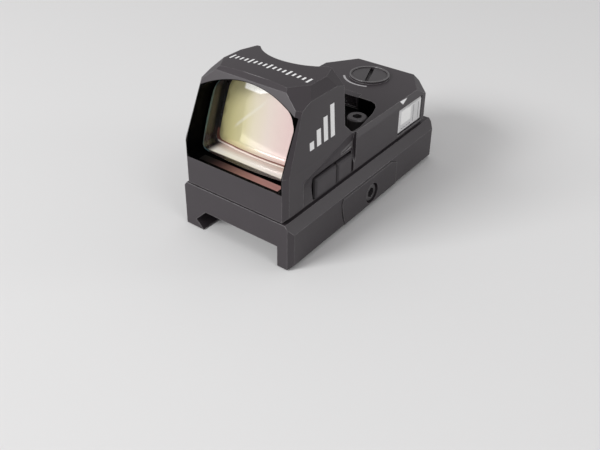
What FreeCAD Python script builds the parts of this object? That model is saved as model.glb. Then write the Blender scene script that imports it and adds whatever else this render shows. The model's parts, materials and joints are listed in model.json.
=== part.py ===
import FreeCAD, Part
import math
import os

# Compact open red dot finder on a dovetail rail clamp.
# Frame: origin at the middle of the face that rests on the rail, +Z up, +Y towards the eye.
# "back" is the distance behind the front face, "height" is the distance above the rail seat.

V = FreeCAD.Vector

# ---- driving dimensions, millimetres ----
LENGTH = 57.2
WIDTH = 29.0
FRONT = -LENGTH / 2
TILT = math.radians(22.0)

# rail clamp base
BASE_TOP = 5.6
BASE_SHOULDER = 3.55
BASE_TOP_WIDTH = 25.8
LEG_BOTTOM = -4.7
CORNER_BEVEL = 1.0
RAIL_APEX = 10.75
RAIL_APEX_DEPTH = 2.77
PLAIN_WALL = 11.0
JAW_BACK = (17.3, 39.5)
JAW_TOP = 3.25
JAW_INNER = 9.0
JAW_GAP = 0.22
JAW_PROUD = 0.15
BOLT_BACK = 29.1
BOLT_HEIGHT = -1.1
BOLT_R = 1.6
BOLT_HEAD_R = 2.1
BOLT_HEAD_IN = 0.35
BOLT_HEAD_BORE = 2.4
BOLT_TROUGH_R = 2.2
GUIDE_BACKS = (21.4, 36.2)
SPRING_BACKS = (24.6, 33.0)
GUIDE_HEIGHT = 1.45
PIN_PLACES = ((-8.6, 4.2), (8.6, 53.2))
PIN_R = 1.0

# housing
GASKET = 0.4
FLOOR = BASE_TOP + GASKET
UNDERCUT = 1.0
FRONT_BEVEL = 1.0
HALF = 13.2
CREASE = 15.6
HOOD_HALF = 12.4
HOOD_SHOULDER = 28.5
HOOD_TOP_HALF = 10.7
HOOD_EDGE = 30.55
HOOD_CROWN = 31.0
HOOD_REAR = 15.65
HORN_BACK = 19.4
HOOD_REAR_R = 11.5
DECK = 15.8
DECK_EDGE = 12.75
SIDE_CREASE = 14.4
WEB = ((19.4, 19.2), (22.3, 16.3), (24.2, 15.8))
REAR = 56.8
REAR_CORNER = ((13.2, 53.4), (9.4, 56.8))
TUNNEL_HALF = 12.0
TUNNEL_FLOOR = 12.2
TUNNEL_SIDE_TOP = 24.0
TUNNEL_CORNER = (9.3, 27.6)
TUNNEL_CROWN = 29.65
NOTCH_HALF = 4.1
TROUGH_BACK = 39.0

# mounting screws
SCREW_X = 8.0
SCREW_BACK = 31.9
CAP_R = 2.25
CAP_HEIGHT = 2.5
SHANK_R = 1.25

# adjusters
ELEVATION_BACK = 49.4
ELEVATION_R = 4.15
ELEVATION_TOP = 16.15
COLLAR_R = 4.75
COLLAR_TOP = 16.35
ELEVATION_SHOULDER = 13.45
STEM_R = 1.25
WINDAGE_BACK = 42.9
WINDAGE_HEIGHT = 10.4
WINDAGE_R = 3.0
WINDAGE_STEM_R = 1.0
BALL_R = 0.3
SLOT = 1.0

# emitter
LED_HEIGHT = 13.9
SEAT_BACK = 39.9
CARRIAGE_BACK = (41.2, 43.4)
BAY_HALF = 6.3
BOARD_POSTS = (8.0, 34.0)
BOARD_HEIGHT = (6.65, 7.45)

# lens
LENS_FRONT = 3.3
LENS_CENTRE = 20.8
FRONT_R = 75.0
JOINT_R = 60.0
REAR_R = 72.0
FRONT_ELEMENT = 2.2
REAR_ELEMENT = 1.6
LENS_GAP = 0.35

# battery drawer
TRAY_BACK = (41.3, 51.9)
TRAY_HEIGHT = (7.5, 13.8)
DRAWER_TOP = 10.7
DRAWER_INNER = 2.35
CELL_R = 4.75
CELL_HEIGHT = 2.7
CELL_X = 7.52
PLATE = 1.2

# brightness keys
PAD_BACK = (9.3, 23.2)
PAD_TOP = 11.7
PAD_DEPTH = 11.4
KEYS = ((10.1, 17.3), (17.75, 23.0))
KEY_HEIGHT = (6.5, 11.0)
PLUNGER_HEIGHT = 8.8


def y(back):
    return FRONT + back


def box(x0, x1, b0, b1, h0, h1):
    return Part.makeBox(x1 - x0, b1 - b0, h1 - h0, V(x0, y(b0), h0))


def rod_x(x0, x1, back, height, r):
    return Part.makeCylinder(r, x1 - x0, V(x0, y(back), height), V(1, 0, 0))


def rod_y(b0, b1, x, height, r):
    return Part.makeCylinder(r, b1 - b0, V(x, y(b0), height), V(0, 1, 0))


def rod_z(h0, h1, x, back, r):
    return Part.makeCylinder(r, h1 - h0, V(x, y(back), h0), V(0, 0, 1))


def loop(points):
    return Part.makePolygon(points + [points[0]])


def slab_x(points, x0, x1):
    """Solid between two X planes; points are (back, height)."""
    face = Part.Face(loop([V(x0, y(b), h) for b, h in points]))
    return face.extrude(V(x1 - x0, 0, 0))


def slab_y(points, b0, b1):
    """Solid between two Y planes; points are (x, height)."""
    face = Part.Face(loop([V(x, y(b0), h) for x, h in points]))
    return face.extrude(V(0, b1 - b0, 0))


def slab_z(points, h0, h1):
    """Solid between two Z planes; points are (x, back)."""
    face = Part.Face(loop([V(x, y(b), h0) for x, b in points]))
    return face.extrude(V(0, 0, h1 - h0))


def mirrored(shape):
    return shape.mirror(V(0, 0, 0), V(1, 0, 0))


def both(shape):
    return [shape, mirrored(shape)]


def half_space(point, normal, size=80.0):
    """Large block on the outer side of a plane."""
    axis = V(*normal)
    axis.normalize()
    block = Part.makeBox(size, size, size, V(-size / 2, -size / 2, 0))
    block.Placement = FreeCAD.Placement(V(*point), FreeCAD.Rotation(V(0, 0, 1), axis))
    return block


def coil(r, wire_r, length, turns):
    """Compression spring along +Z, standing on the origin: octagonal wire, twelve steps a turn."""
    steps, corners = 12, 8
    count = int(turns * steps)
    rings = []
    for i in range(count + 1):
        a = 2 * math.pi * i / steps
        out = V(math.cos(a), math.sin(a), 0)
        centre = out * r + V(0, 0, length * i / count)
        spin = [2 * math.pi * (j + 0.5) / corners for j in range(corners)]
        rings.append(loop([centre + out * (wire_r * math.cos(t)) + V(0, 0, wire_r * math.sin(t)) for t in spin]))
    return Part.makeLoft(rings, True, True)


def turned(shape, axis, angle, centre=V(0, 0, 0)):
    copy = shape.copy()
    copy.rotate(centre, axis, angle)
    return copy


def moved(shape, x, back, height):
    copy = shape.copy()
    copy.translate(V(x, y(back), height))
    return copy


def save(name, shape):
    solids = shape.Solids if hasattr(shape, "Solids") else []
    if not solids:
        raise ValueError(name + " has no solid")
    out = solids[0] if len(solids) == 1 else Part.makeCompound(solids)
    out.exportStep("parts/" + name + ".step")


# ---- rail clamp ----
def rail_section():
    """Cross-section of the base: dovetail on the left, plain wall on the right."""
    half = WIDTH / 2
    neck = RAIL_APEX - RAIL_APEX_DEPTH
    tip = RAIL_APEX - (-LEG_BOTTOM - RAIL_APEX_DEPTH)
    return [
        (-BASE_TOP_WIDTH / 2, BASE_TOP),
        (-half, BASE_SHOULDER),
        (-half, LEG_BOTTOM + CORNER_BEVEL),
        (-half + CORNER_BEVEL, LEG_BOTTOM),
        (-tip, LEG_BOTTOM),
        (-RAIL_APEX, -RAIL_APEX_DEPTH),
        (-neck, 0.0),
        (PLAIN_WALL, 0.0),
        (PLAIN_WALL, LEG_BOTTOM),
        (half - CORNER_BEVEL, LEG_BOTTOM),
        (half, LEG_BOTTOM + CORNER_BEVEL),
        (half, BASE_SHOULDER),
        (BASE_TOP_WIDTH / 2, BASE_TOP),
    ]


def bevelled_plan(half, length, bevel):
    return [
        (-half + bevel, 0.0),
        (half - bevel, 0.0),
        (half, bevel),
        (half, length - bevel),
        (half - bevel, length),
        (-half + bevel, length),
        (-half, length - bevel),
        (-half, bevel),
    ]


def rail_base():
    body = slab_y(rail_section(), 0, LENGTH)
    plan = slab_z(bevelled_plan(WIDTH / 2, LENGTH, CORNER_BEVEL), LEG_BOTTOM - 1, BASE_TOP + 1)
    body = body.common(plan)
    cuts = [jaw_outline(JAW_INNER - JAW_GAP, JAW_GAP)]
    cuts.append(rod_x(-WIDTH / 2 - 1, WIDTH / 2, BOLT_BACK, BOLT_HEIGHT, BOLT_R + 0.05))
    cuts.append(rod_x(-8.0, 9.0, BOLT_BACK, BOLT_HEIGHT, BOLT_TROUGH_R))
    for back in GUIDE_BACKS:
        cuts.append(rod_x(4.0, 9.5, back, GUIDE_HEIGHT, 1.0))
    for back in SPRING_BACKS:
        cuts.append(rod_x(6.0, 9.5, back, GUIDE_HEIGHT, 1.3))
    cuts.append(rod_z(0.6, BASE_TOP + 1, -SCREW_X, SCREW_BACK, SHANK_R))
    cuts.append(rod_z(JAW_TOP - 0.3, BASE_TOP + 1, SCREW_X, SCREW_BACK, SHANK_R))
    for x, back in PIN_PLACES:
        cuts.append(rod_z(2.6, BASE_TOP + 1, x, back, PIN_R))
    return body.cut(cuts)


def jaw_outline(inner, gap):
    """Side outline of the jaw, bowed at its front end, widened by a gap for its pocket."""
    b0, b1 = JAW_BACK
    top = JAW_TOP + gap
    low = V(inner, y(b0 + 2.4 - gap), LEG_BOTTOM - 1)
    bow = V(inner, y(b0 + 0.55 - gap), -1.2)
    high = V(inner, y(b0 - gap), 1.9)
    round_end = V(inner, y(b0 + 1.5), top)
    round_mid = V(inner, y(b0 + 0.4 - gap * 0.7), JAW_TOP - 0.35 + gap * 0.7)
    rear = [V(inner, y(b1 - 2.7), top), V(inner, y(b1 + gap), JAW_TOP - 1.3)]
    rear.append(V(inner, y(b1 + gap), LEG_BOTTOM - 1))
    edges = [Part.Arc(low, bow, high).toShape(), Part.Arc(high, round_mid, round_end).toShape()]
    path = [round_end] + rear + [low]
    edges += [Part.LineSegment(a, b).toShape() for a, b in zip(path, path[1:])]
    return Part.Face(Part.Wire(edges)).extrude(V(WIDTH, 0, 0))


def jaw_section():
    half = WIDTH / 2 + JAW_PROUD
    tip = RAIL_APEX - (-LEG_BOTTOM - RAIL_APEX_DEPTH)
    return [
        (JAW_INNER, JAW_TOP),
        (JAW_INNER, -(JAW_INNER - RAIL_APEX + RAIL_APEX_DEPTH)),
        (RAIL_APEX, -RAIL_APEX_DEPTH),
        (tip, LEG_BOTTOM),
        (half - CORNER_BEVEL, LEG_BOTTOM),
        (half, LEG_BOTTOM + CORNER_BEVEL),
        (half, JAW_TOP - 0.3),
        (half - 0.3, JAW_TOP),
    ]


def clamp_jaw():
    jaw = slab_y(jaw_section(), 0, LENGTH).common(jaw_outline(0, 0))
    cuts = [rod_x(8, 20, BOLT_BACK, BOLT_HEIGHT, BOLT_R + 0.05)]
    cuts.append(rod_x(12.6, 20, BOLT_BACK, BOLT_HEIGHT, BOLT_HEAD_BORE))
    for back in GUIDE_BACKS:
        cuts.append(rod_x(8, 14.0, back, GUIDE_HEIGHT, 1.05))
    for back in SPRING_BACKS:
        cuts.append(rod_x(8, 11.6, back, GUIDE_HEIGHT, 1.35))
    return jaw.cut(cuts)


def clamp_bolt():
    head_end = WIDTH / 2 + JAW_PROUD - BOLT_HEAD_IN
    bolt = rod_x(12.65, head_end, BOLT_BACK, BOLT_HEIGHT, BOLT_HEAD_R)
    rim = [e for e in bolt.Edges if min(v.X for v in e.Vertexes) > head_end - 0.01]
    bolt = bolt.makeChamfer(0.25, rim)
    bolt = bolt.fuse(rod_x(-13.9, 12.65, BOLT_BACK, BOLT_HEIGHT, BOLT_R))
    socket = turned(hexagon(1.1, head_end - 1.2, head_end + 1, 0, 0), V(0, 1, 0), 90)
    groove = rod_x(8.2, 8.7, BOLT_BACK, BOLT_HEIGHT, 3).cut(rod_x(8, 9, BOLT_BACK, BOLT_HEIGHT, 1.2))
    return bolt.cut([moved(socket, 0, BOLT_BACK - FRONT, BOLT_HEIGHT), groove]).removeSplitter()


def bolt_clip():
    ring = rod_x(8.3, 8.6, BOLT_BACK, BOLT_HEIGHT, BOLT_R + 0.25)
    ring = ring.cut(rod_x(8, 9, BOLT_BACK, BOLT_HEIGHT, 1.2))
    return ring.cut(box(8, 9, BOLT_BACK - 0.7, BOLT_BACK + 0.7, BOLT_HEIGHT - 4, BOLT_HEIGHT))


def guide_pins():
    return Part.makeCompound([rod_x(4.0, 13.8, back, GUIDE_HEIGHT, 1.0) for back in GUIDE_BACKS])


def clamp_springs():
    spring = turned(coil(0.95, 0.2, 5.2, 5), V(0, 1, 0), 90)
    return Part.makeCompound([moved(spring, 6.2, back, GUIDE_HEIGHT) for back in SPRING_BACKS])


def locating_pins():
    return Part.makeCompound([rod_z(2.6, FLOOR + 2.0, x, back, PIN_R) for x, back in PIN_PLACES])


# ---- housing ----
def hood_section():
    """Outer cross-section of the hood; its top is a shallow arc."""
    left = [(-HALF + UNDERCUT, FLOOR), (-HALF, FLOOR + UNDERCUT), (-HALF, CREASE)]
    left += [(-HOOD_HALF, HOOD_SHOULDER), (-HOOD_TOP_HALF, HOOD_EDGE)]
    right = [(-x, h) for x, h in reversed(left)]
    start = [V(x, FRONT, h) for x, h in left]
    end = [V(x, FRONT, h) for x, h in right]
    edges = [Part.LineSegment(a, b).toShape() for a, b in zip(start, start[1:])]
    edges.append(Part.Arc(start[-1], V(0, FRONT, HOOD_CROWN), end[0]).toShape())
    edges += [Part.LineSegment(a, b).toShape() for a, b in zip(end, end[1:])]
    edges.append(Part.LineSegment(end[-1], start[0]).toShape())
    return Part.Face(Part.Wire(edges)).extrude(V(0, REAR, 0))


def hood():
    """Upright chin, leaning front, bevelled brow, upright rear edge and a web down to the deck."""
    outline = [(0, FLOOR), (0, CREASE), (5.9, 30.1), (6.95, 30.95), (6.95, 32.0)]
    outline += [(HORN_BACK, 32.0)] + list(WEB) + [(WEB[-1][0], FLOOR)]
    shape = hood_section().common(slab_x(outline, -20, 20))
    cuts = both(half_space((9.3, y(6.5), 29.9), (0.543, -0.306, 0.783)))
    cuts += both(half_space((9.6, y(18.8), 30.65), (0.675, 0.215, 0.705)))
    bite = rod_z(TUNNEL_SIDE_TOP, 40, 0, HOOD_REAR + HOOD_REAR_R, HOOD_REAR_R)
    cuts.append(bite)
    return shape.cut(cuts)


def body():
    """Low body under the hood and deck, with its rear corners cut and bevelled."""
    right = [(DECK_EDGE, DECK), (HALF, SIDE_CREASE), (HALF, FLOOR + UNDERCUT), (HALF - UNDERCUT, FLOOR)]
    section = right + [(-x, h) for x, h in reversed(right)]
    shape = slab_y(section, 0, REAR)
    plan = [(HALF, 0)] + list(REAR_CORNER)
    plan += [(-x, b) for x, b in reversed(plan)]
    shape = shape.common(slab_z(plan, 0, 40))
    return shape.cut(both(half_space((8.4, y(56.0), DECK), (0.525, 0.357, 0.772))))


def well():
    """Open space behind the hood: wide at the hood, drawn in towards the emitter notch."""
    right = [(12.3, 18.0), (12.3, 26.5), (11.0, 33.4), (10.0, 36.2), (9.0, 37.5), (7.6, 38.1)]
    right += [(NOTCH_HALF + 0.2, 38.1), (NOTCH_HALF, TROUGH_BACK)]
    outline = right + [(-x, b) for x, b in reversed(right)]
    return slab_z(outline, TUNNEL_FLOOR, 40).common(box(-20, 20, HORN_BACK, 60, 0, 50))


def tunnel(inset, b0, b1):
    """Light tunnel: flat floor, upright sides, tight corners and an arched top."""
    half = TUNNEL_HALF - inset
    floor = TUNNEL_FLOOR + inset
    cx = TUNNEL_CORNER[0] - inset * 0.5
    cz = TUNNEL_CORNER[1] - inset * 0.85
    foot = 1.3
    k = foot * (1 - math.sqrt(0.5))
    at = y(b0)
    right = [V(half - foot, at, floor), V(half - k, at, floor + k), V(half, at, floor + foot)]
    bend = V(half - 0.75, at, TUNNEL_CORNER[1] - 1.45 - inset * 0.6)
    side = V(half, at, TUNNEL_SIDE_TOP)
    corner = V(cx, at, cz)
    crown = V(0, at, TUNNEL_CROWN - inset)
    flip = [V(-p.x, p.y, p.z) for p in right + [side, bend, corner]]
    edges = [Part.Arc(right[0], right[1], right[2]).toShape()]
    edges.append(Part.LineSegment(right[2], side).toShape())
    edges.append(Part.Arc(side, bend, corner).toShape())
    edges.append(Part.Arc(corner, crown, flip[5]).toShape())
    edges.append(Part.Arc(flip[5], flip[4], flip[3]).toShape())
    edges.append(Part.LineSegment(flip[3], flip[2]).toShape())
    edges.append(Part.Arc(flip[2], flip[1], flip[0]).toShape())
    edges.append(Part.LineSegment(flip[0], right[0]).toShape())
    return Part.Face(Part.Wire(edges)).extrude(V(0, b1 - b0, 0))


def front_bevels():
    """Bevels on the front corners, upright on the chin and leaning back above it."""
    at = (HALF, y(FRONT_BEVEL), CREASE)
    upright = half_space(at, (1, -1, 0)).common(box(-20, 20, -1, 5, 0, CREASE))
    leaning = half_space(at, (0.998, -0.927, 0.437)).common(box(-20, 20, -1, 12, CREASE, 40))
    return both(upright) + both(leaning)


def notch_bevel():
    """Bevel on the deck's edge over the emitter window."""
    outline = [(TROUGH_BACK - 1, DECK - 0.7), (TROUGH_BACK, DECK - 0.7), (TROUGH_BACK + 0.9, DECK + 0.2)]
    outline += [(TROUGH_BACK - 1, DECK + 0.2)]
    return slab_x(outline, -NOTCH_HALF, NOTCH_HALF)


def housing():
    shape = hood().fuse(body())
    shape = shape.cut([tunnel(0, -1, HORN_BACK + 0.1), well(), notch_bevel()])
    shape = shape.fuse(rod_z(DECK - 1, COLLAR_TOP, 0, ELEVATION_BACK, COLLAR_R))
    shape = shape.cut(front_bevels())
    cuts = bay_cuts() + adjuster_cuts() + drawer_cuts() + screw_cuts() + key_cuts()
    shape = shape.cut(cuts + [tray_mark()])
    return shape.removeSplitter()


def bay_cuts():
    """Electronics bay under the light tunnel, with two posts for the board screws."""
    bay = box(-BAY_HALF, BAY_HALF, 3.0, 37.5, 0, 11.0)
    bay = bay.fuse(box(BAY_HALF - 1, 9.4, PAD_BACK[0], PAD_BACK[1], 0, 10.9))
    bay = bay.cut([rod_z(BOARD_HEIGHT[1], 12, 0, back, 1.7) for back in BOARD_POSTS])
    return [bay] + [rod_z(7.0, 9.6, 0, back, 0.75) for back in BOARD_POSTS]


def adjuster_cuts():
    """Bays for the emitter and the adjusters, and the bores of the two screws."""
    cuts = [box(-8.5, 1.9, SEAT_BACK, 53.0, 0, 12.2)]
    cuts.append(box(-3.3, 3.3, SEAT_BACK + 0.35, 44.85, 11.75, 15.0))
    cuts.append(box(-2.5, 2.5, 37.0, 41.5, 0, 10.0))
    cuts.append(box(-3.2, 3.2, TROUGH_BACK - 1, SEAT_BACK, 12.6, 15.0))
    cuts.append(box(-2.4, 2.4, SEAT_BACK - 1, 42.0, 12.9, 14.8))
    cuts.append(rod_z(ELEVATION_SHOULDER, 20, 0, ELEVATION_BACK, ELEVATION_R + 0.08))
    cuts.append(rod_z(10, 20, 0, ELEVATION_BACK, STEM_R + 0.06))
    cuts.append(rod_x(-20, -10.9, WINDAGE_BACK, WINDAGE_HEIGHT, WINDAGE_R + 0.08))
    cuts.append(rod_x(-20, -8.0, WINDAGE_BACK, WINDAGE_HEIGHT, WINDAGE_STEM_R + 0.06))
    return cuts + plungers()


def drawer_cuts():
    b0, b1 = TRAY_BACK
    h0, h1 = TRAY_HEIGHT
    gap = 0.06
    cuts = [box(DRAWER_INNER - 0.15, 20, b0 - gap, b1 + gap, h0 - gap, 11.5)]
    cuts.append(box(HALF - PLATE - 0.3, 20, b0 - gap, b1 + gap, h0 - gap, h1 + gap))
    mid = (b0 + b1) / 2
    cuts.append(rod_z(0, 8, 6.0, mid, 0.65))
    cuts.append(rod_z(0, 6.35, 6.0, mid, 0.95))
    return cuts


def screw_cuts():
    cuts = [rod_z(0, 19, side * SCREW_X, SCREW_BACK, SHANK_R + 0.1) for side in (-1, 1)]
    return cuts + [rod_z(0, FLOOR + 2.0, x, back, PIN_R) for x, back in PIN_PLACES]


def key_cuts():
    """Recess for the keys, their plunger holes and the hollow round them."""
    cuts = [box(PAD_DEPTH, 20, PAD_BACK[0], PAD_BACK[1], 0, PAD_TOP)]
    cuts += [rod_x(8, 20, (k0 + k1) / 2, PLUNGER_HEIGHT, 1.4) for k0, k1 in KEYS]
    return cuts + [scoop()]


def scoop():
    """Shallow hollow round the keys; its axis rises towards the rear."""
    radius = 9.0
    depth = 0.9
    centre = V(HALF + radius - depth, y(15.5), 11.0)
    rod = Part.makeCylinder(radius, 60, centre - V(0, 30, 0), V(0, 1, 0))
    rod = turned(rod, V(1, 0, 0), 14, centre)
    return rod.common(box(0, 40, 5.5, PAD_BACK[1] + 0.5, 0, 40))



def base_gasket():
    ring = slab_z(bevelled_plan(12.2, 54.5, 1.5), 0, GASKET)
    ring = ring.cut(slab_z(bevelled_plan(9.2, 48.5, 1.5), -1, 1).translated(V(0, 3.0, 0)))
    ring.translate(V(0, 0.7, BASE_TOP))
    cuts = []
    for side in (-1, 1):
        cuts.append(rod_z(0, 20, side * SCREW_X, SCREW_BACK, SHANK_R + 0.3))
    for x, back in PIN_PLACES:
        cuts.append(rod_z(0, 20, x, back, PIN_R))
    return ring.cut(cuts)


def mounting_screws():
    screws = []
    for side, foot in ((-1, 1.0), (1, JAW_TOP + 0.3)):
        x = side * SCREW_X
        head = rod_z(TUNNEL_FLOOR, TUNNEL_FLOOR + CAP_HEIGHT, x, SCREW_BACK, CAP_R)
        rim = [e for e in head.Edges if min(v.Z for v in e.Vertexes) > TUNNEL_FLOOR + CAP_HEIGHT - 0.01]
        head = head.makeChamfer(0.3, rim)
        shank = rod_z(foot, TUNNEL_FLOOR, x, SCREW_BACK, SHANK_R)
        socket = hexagon(1.0, TUNNEL_FLOOR + 1.1, TUNNEL_FLOOR + 4, x, SCREW_BACK)
        screws.append(head.fuse(shank).cut(socket))
    return Part.makeCompound(screws)


def hexagon(half_flat, h0, h1, x, back):
    r = half_flat / math.cos(math.radians(30))
    pts = [(x + r * math.cos(math.radians(a)), back + r * math.sin(math.radians(a))) for a in range(0, 360, 60)]
    return slab_z(pts, h0, h1)


# ---- optics ----
def lens_ball(radius, depth):
    """Ball whose front pole lies on the lens axis, depth behind the leaning front plane."""
    pole_back = (LENS_CENTRE - CREASE) * math.tan(TILT) + depth / math.cos(TILT)
    axis = V(0, math.cos(TILT), -math.sin(TILT))
    pole = V(0, y(pole_back), LENS_CENTRE)
    return Part.makeSphere(radius, pole + axis * radius)


def lens_front():
    blank = tunnel(LENS_GAP, 0, 20)
    return blank.common(lens_ball(FRONT_R, LENS_FRONT)).cut(lens_ball(JOINT_R, LENS_FRONT + FRONT_ELEMENT))


def lens_rear():
    blank = tunnel(LENS_GAP, 0, 20)
    joint = lens_ball(JOINT_R, LENS_FRONT + FRONT_ELEMENT)
    return blank.common(joint).cut(lens_ball(REAR_R, LENS_FRONT + FRONT_ELEMENT + REAR_ELEMENT))


def lens_bond():
    """Bead of black adhesive between the lens edge and the tunnel wall."""
    ring = tunnel(0.01, 0, 20).cut(tunnel(LENS_GAP, -1, 21))
    lean = [(5.1, CREASE - 5), (7.0, CREASE - 5), (14.4, 34), (12.5, 34)]
    return ring.common(slab_x(lean, -20, 20))


# ---- adjusters and emitter ----
def elevation_screw():
    screw = rod_z(ELEVATION_SHOULDER + 0.05, ELEVATION_TOP, 0, ELEVATION_BACK, ELEVATION_R)
    screw = screw.fuse(rod_z(8.7, ELEVATION_SHOULDER + 0.05, 0, ELEVATION_BACK, STEM_R))
    slot = box(-6, 6, ELEVATION_BACK - SLOT / 2, ELEVATION_BACK + SLOT / 2, ELEVATION_TOP - 0.9, 20)
    slot = turned(slot, V(0, 0, 1), 111, V(0, y(ELEVATION_BACK), 0))
    groove = rod_z(14.35, 15.05, 0, ELEVATION_BACK, 6).cut(rod_z(14, 16, 0, ELEVATION_BACK, 3.5))
    return screw.cut([slot, groove]).removeSplitter()


def elevation_seal():
    return Part.makeTorus(3.85, 0.34, V(0, y(ELEVATION_BACK), 14.7), V(0, 0, 1))


def elevation_slider():
    """Block on the elevation thread; its front plate carries the emitter carriage."""
    arm = box(-1.9, 1.75, 44.0, 51.4, 9.6, 11.7)
    plate = box(-1.9, 1.75, 43.6, 44.4, 9.6, 14.4)
    bore = rod_z(9, 13, 0, ELEVATION_BACK, STEM_R + 0.05)
    return arm.fuse(plate).cut(bore).removeSplitter()


def elevation_spring():
    return moved(coil(1.45, 0.15, 3.7, 4.5), 0, ELEVATION_BACK, BASE_TOP + 0.15)


def windage_screw():
    screw = rod_x(-HALF + 0.1, -10.95, WINDAGE_BACK, WINDAGE_HEIGHT, WINDAGE_R)
    screw = screw.fuse(rod_x(-10.95, -3.75, WINDAGE_BACK, WINDAGE_HEIGHT, WINDAGE_STEM_R))
    slot = box(-15, -HALF + 1.0, WINDAGE_BACK - 0.4, WINDAGE_BACK + 0.4, 0, 20)
    groove = rod_x(-12.2, -11.6, WINDAGE_BACK, WINDAGE_HEIGHT, 5)
    groove = groove.cut(rod_x(-13, -11, WINDAGE_BACK, WINDAGE_HEIGHT, 2.45))
    return screw.cut([slot, groove]).removeSplitter()


def windage_seal():
    return Part.makeTorus(2.74, 0.28, V(-11.9, y(WINDAGE_BACK), WINDAGE_HEIGHT), V(1, 0, 0))


def emitter_carriage():
    """Lateral carriage: block behind the diode with a forked tongue on the windage screw."""
    b0, b1 = CARRIAGE_BACK
    block = box(-2.6, 2.6, b0, b1, 12.25, 14.4)
    tongue = box(-4.6, -3.2, 40.7, 44.4, 8.6, 11.7)
    bridge = box(-4.6, -1.9, 40.7, 41.35, 11.0, 11.75).fuse(box(-2.6, -1.9, 40.7, 41.35, 11.0, 13.0))
    fork = rod_x(-6, 0, WINDAGE_BACK, WINDAGE_HEIGHT, WINDAGE_STEM_R + 0.06)
    fork = fork.fuse(box(-6, 0, WINDAGE_BACK - 1.06, WINDAGE_BACK + 1.06, 9.9, 10.9))
    fork = fork.fuse(rod_x(-6, 0, WINDAGE_BACK, WINDAGE_HEIGHT - 0.5, WINDAGE_STEM_R + 0.06))
    fork = fork.fuse(rod_x(-6, 0, WINDAGE_BACK, WINDAGE_HEIGHT + 0.5, WINDAGE_STEM_R + 0.06))
    return block.fuse([tongue, bridge]).cut(fork).removeSplitter()


def windage_spring():
    spring = turned(coil(0.9, 0.12, 4.3, 6), V(0, 1, 0), 90)
    return moved(spring, -3.05, WINDAGE_BACK - 0.6, WINDAGE_HEIGHT)


def led_emitter():
    front = CARRIAGE_BACK[0] - 0.3
    base = box(-0.9, 0.9, front, CARRIAGE_BACK[0], LED_HEIGHT - 0.45, LED_HEIGHT + 0.45)
    return base.fuse(rod_y(front - 0.2, front, 0, LED_HEIGHT, 0.35))


def emitter_window():
    return box(-3.1, 3.1, SEAT_BACK - 0.75, SEAT_BACK - 0.05, 12.7, 14.9)


def plungers():
    """Spring plungers that click against the rims of the two adjuster screws."""
    elevation = rod_x(-5.9, -ELEVATION_R - 0.1, ELEVATION_BACK, 13.95, BALL_R)
    rim = WINDAGE_BACK + WINDAGE_R + 0.1
    return [elevation, rod_y(rim, rim + 1.5, -11.3, WINDAGE_HEIGHT, BALL_R)]


def click_plungers():
    return Part.makeCompound(plungers())


# ---- electronics ----
def main_board():
    board = box(-BAY_HALF + 0.2, BAY_HALF - 0.2, 4.0, 36.8, BOARD_HEIGHT[0], BOARD_HEIGHT[1])
    return board.cut([rod_z(0, 20, 0, back, 0.85) for back in BOARD_POSTS])


def board_screws():
    screws = []
    for back in BOARD_POSTS:
        head = rod_z(FLOOR + 0.05, BOARD_HEIGHT[0], 0, back, 1.4)
        screws.append(head.fuse(rod_z(BOARD_HEIGHT[0], 9.3, 0, back, 0.75)))
    return Part.makeCompound(screws)


def board_chips():
    top = BOARD_HEIGHT[1]
    chips = [box(-2.6, 2.4, 13.0, 18.0, top, top + 0.95), box(-5.6, -2.8, 21.0, 24.4, top, top + 1.15)]
    for i in range(4):
        chips.append(box(-5.6, -4.4, 7.0 + 3.2 * i, 8.6 + 3.2 * i, top, top + 0.65))
    return Part.makeCompound(chips)


def emitter_flex():
    """Flat cable from the board up to the space in front of the carriage."""
    top = BOARD_HEIGHT[1]
    strip = box(-0.9, 0.9, 36.0, 40.4, top, top + 0.14)
    return strip.fuse(box(-0.9, 0.9, 40.26, 40.4, top, 12.0)).removeSplitter()


def switch_board():
    return box(6.5, 7.1, PAD_BACK[0] + 0.3, PAD_BACK[1] - 0.3, 6.7, 10.7)


def key_switches():
    out = []
    for k0, k1 in KEYS:
        mid = (k0 + k1) / 2
        can = box(7.1, 8.7, mid - 1.6, mid + 1.6, PLUNGER_HEIGHT - 1.6, PLUNGER_HEIGHT + 1.6)
        out.append(can.fuse(rod_x(8.7, 9.1, mid, PLUNGER_HEIGHT, 0.8)))
    return Part.makeCompound(out)


def key_membrane():
    p0, p1 = PAD_BACK
    sheet = box(PAD_DEPTH, PAD_DEPTH + 0.25, p0 + 0.1, p1 - 0.1, FLOOR + 0.1, PAD_TOP - 0.1)
    return sheet.cut([rod_x(8, 20, (k0 + k1) / 2, PLUNGER_HEIGHT, 1.35) for k0, k1 in KEYS])


def key(span):
    k0, k1 = span
    outer = HALF - 0.25
    cap = box(12.1, outer, k0, k1, KEY_HEIGHT[0], KEY_HEIGHT[1])
    lead = 0.35
    edges = [e for e in cap.Edges if min(v.X for v in e.Vertexes) > outer - 0.01]
    cap = cap.makeChamfer(lead, edges)
    return cap.fuse(rod_x(9.6, 12.1, (k0 + k1) / 2, PLUNGER_HEIGHT, 1.2))


# ---- battery drawer ----
def tray_face_cutters():
    b0, b1 = TRAY_BACK
    h0, h1 = TRAY_HEIGHT
    bevel = 0.6
    edge = []
    edge.append(half_space((HALF - bevel, y(b0), h0), (1, -1, 0)))
    edge.append(half_space((HALF - bevel, y(b1), h0), (1, 1, 0)))
    edge.append(half_space((HALF - bevel, y(b0), h0), (1, 0, -1)))
    edge.append(half_space((HALF - bevel, y(b0), h1), (1, 0, 1)))
    return edge


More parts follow.
